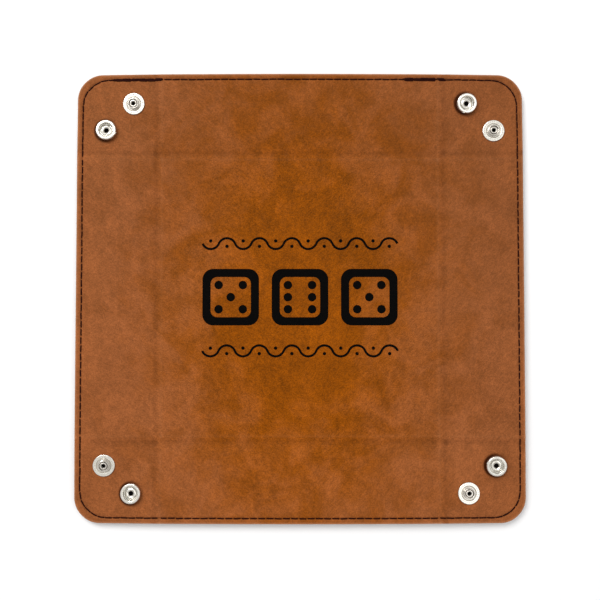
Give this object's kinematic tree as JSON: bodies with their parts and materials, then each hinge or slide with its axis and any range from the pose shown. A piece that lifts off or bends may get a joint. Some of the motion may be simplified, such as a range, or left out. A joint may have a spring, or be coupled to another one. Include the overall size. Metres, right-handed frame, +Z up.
{
  "type": "dice tray",
  "caption": "Square snap-up leatherette dice tray, lying flat: base and walls on creases, pleated corners with snap fasteners, stitched edge and engraved floor.",
  "frame": {"origin": "on the table under the middle of the base, which lies flat", "axes": "+Z up out of the tray floor; +X east and +Y north along the square's sides, +Y being the top of the engraving"},
  "size_m": [0.2288, 0.2288, 0.0067],
  "materials": {
    "face_leatherette": "low gloss caramel brown leatherette",
    "lining_leatherette": "low gloss caramel brown leatherette",
    "greyboard": "grey board",
    "black_thread": "twisted polyester thread",
    "nickel": "polished nickel"
  },
  "bodies": {
    "base": {"face_base": "face_leatherette", "lining_base": "lining_leatherette", "board_base": "greyboard"},
    "wall_east": {"face_wall_east": "face_leatherette", "lining_wall_east": "lining_leatherette", "board_wall_east": "greyboard", "seam_wall_east": "black_thread"},
    "ear_ne_east": {"face_ear_ne_east": "face_leatherette", "lining_ear_ne_east": "lining_leatherette", "seam_ear_ne_east": "black_thread", "stud_ne": "nickel", "stud_post_ne": "nickel"},
    "ear_ne_north": {"face_ear_ne_north": "face_leatherette", "lining_ear_ne_north": "lining_leatherette", "seam_ear_ne_north": "black_thread", "socket_ne": "nickel", "cap_ne": "nickel"},
    "wall_north": {"face_wall_north": "face_leatherette", "lining_wall_north": "lining_leatherette", "board_wall_north": "greyboard", "seam_wall_north": "black_thread"},
    "ear_nw_north": {"face_ear_nw_north": "face_leatherette", "lining_ear_nw_north": "lining_leatherette", "seam_ear_nw_north": "black_thread", "stud_nw": "nickel", "stud_post_nw": "nickel"},
    "ear_nw_west": {"face_ear_nw_west": "face_leatherette", "lining_ear_nw_west": "lining_leatherette", "seam_ear_nw_west": "black_thread", "socket_nw": "nickel", "cap_nw": "nickel"},
    "wall_west": {"face_wall_west": "face_leatherette", "lining_wall_west": "lining_leatherette", "board_wall_west": "greyboard", "seam_wall_west": "black_thread"},
    "ear_sw_west": {"face_ear_sw_west": "face_leatherette", "lining_ear_sw_west": "lining_leatherette", "seam_ear_sw_west": "black_thread", "stud_sw": "nickel", "stud_post_sw": "nickel"},
    "ear_sw_south": {"face_ear_sw_south": "face_leatherette", "lining_ear_sw_south": "lining_leatherette", "seam_ear_sw_south": "black_thread", "socket_sw": "nickel", "cap_sw": "nickel"},
    "wall_south": {"face_wall_south": "face_leatherette", "lining_wall_south": "lining_leatherette", "board_wall_south": "greyboard", "seam_wall_south": "black_thread"},
    "ear_se_south": {"face_ear_se_south": "face_leatherette", "lining_ear_se_south": "lining_leatherette", "seam_ear_se_south": "black_thread", "stud_se": "nickel", "stud_post_se": "nickel"},
    "ear_se_east": {"face_ear_se_east": "face_leatherette", "lining_ear_se_east": "lining_leatherette", "seam_ear_se_east": "black_thread", "socket_se": "nickel", "cap_se": "nickel"}
  },
  "joints": [
    {"name": "fold_east", "type": "hinge", "parent": "base", "child": "wall_east", "pos_m": [0.0738, 0, 0.0022], "axis": [0, -1, 0], "range_deg": [0, 86]},
    {"name": "crease_ne", "type": "hinge", "parent": "wall_east", "child": "ear_ne_east", "pos_m": [0.0738, 0.0712, 0.0022], "axis": [0.9976, 0, 0.0698], "range_deg": [-43.35, 0]},
    {"name": "pleat_ne", "type": "hinge", "parent": "ear_ne_east", "child": "ear_ne_north", "pos_m": [0.07377, 0.07376, 0.00397], "axis": [0.7068, 0.7068, 0.0289], "range_deg": [0, 172]},
    {"name": "fold_north", "type": "hinge", "parent": "base", "child": "wall_north", "pos_m": [0, 0.0738, 0.0022], "axis": [1, 0, 0], "range_deg": [0, 86]},
    {"name": "crease_nw", "type": "hinge", "parent": "wall_north", "child": "ear_nw_north", "pos_m": [-0.0712, 0.0738, 0.0022], "axis": [0, 0.9976, 0.0698], "range_deg": [-43.35, 0]},
    {"name": "pleat_nw", "type": "hinge", "parent": "ear_nw_north", "child": "ear_nw_west", "pos_m": [-0.07376, 0.07377, 0.00397], "axis": [-0.7068, 0.7068, 0.0289], "range_deg": [0, 172]},
    {"name": "fold_west", "type": "hinge", "parent": "base", "child": "wall_west", "pos_m": [-0.0738, 0, 0.0022], "axis": [0, 1, 0], "range_deg": [0, 86]},
    {"name": "crease_sw", "type": "hinge", "parent": "wall_west", "child": "ear_sw_west", "pos_m": [-0.0738, -0.0712, 0.0022], "axis": [-0.9976, 0, 0.0698], "range_deg": [-43.35, 0]},
    {"name": "pleat_sw", "type": "hinge", "parent": "ear_sw_west", "child": "ear_sw_south", "pos_m": [-0.07377, -0.07376, 0.00397], "axis": [-0.7068, -0.7068, 0.0289], "range_deg": [0, 172]},
    {"name": "fold_south", "type": "hinge", "parent": "base", "child": "wall_south", "pos_m": [0, -0.0738, 0.0022], "axis": [-1, 0, 0], "range_deg": [0, 86]},
    {"name": "crease_se", "type": "hinge", "parent": "wall_south", "child": "ear_se_south", "pos_m": [0.0712, -0.0738, 0.0022], "axis": [0, -0.9976, 0.0698], "range_deg": [-43.35, 0]},
    {"name": "pleat_se", "type": "hinge", "parent": "ear_se_south", "child": "ear_se_east", "pos_m": [0.07376, -0.07377, 0.00397], "axis": [0.7068, -0.7068, 0.0289], "range_deg": [0, 172]}
  ],
  "couplings": [
    {"joint": "crease_ne", "follows": "fold_east", "ratio": -0.50398},
    {"joint": "pleat_ne", "follows": "fold_east", "ratio": 2},
    {"joint": "fold_north", "follows": "fold_east", "ratio": 1},
    {"joint": "crease_nw", "follows": "fold_east", "ratio": -0.50398},
    {"joint": "pleat_nw", "follows": "fold_east", "ratio": 2},
    {"joint": "fold_west", "follows": "fold_east", "ratio": 1},
    {"joint": "crease_sw", "follows": "fold_east", "ratio": -0.50398},
    {"joint": "pleat_sw", "follows": "fold_east", "ratio": 2},
    {"joint": "fold_south", "follows": "fold_east", "ratio": 1},
    {"joint": "crease_se", "follows": "fold_east", "ratio": -0.50398},
    {"joint": "pleat_se", "follows": "fold_east", "ratio": 2}
  ]
}
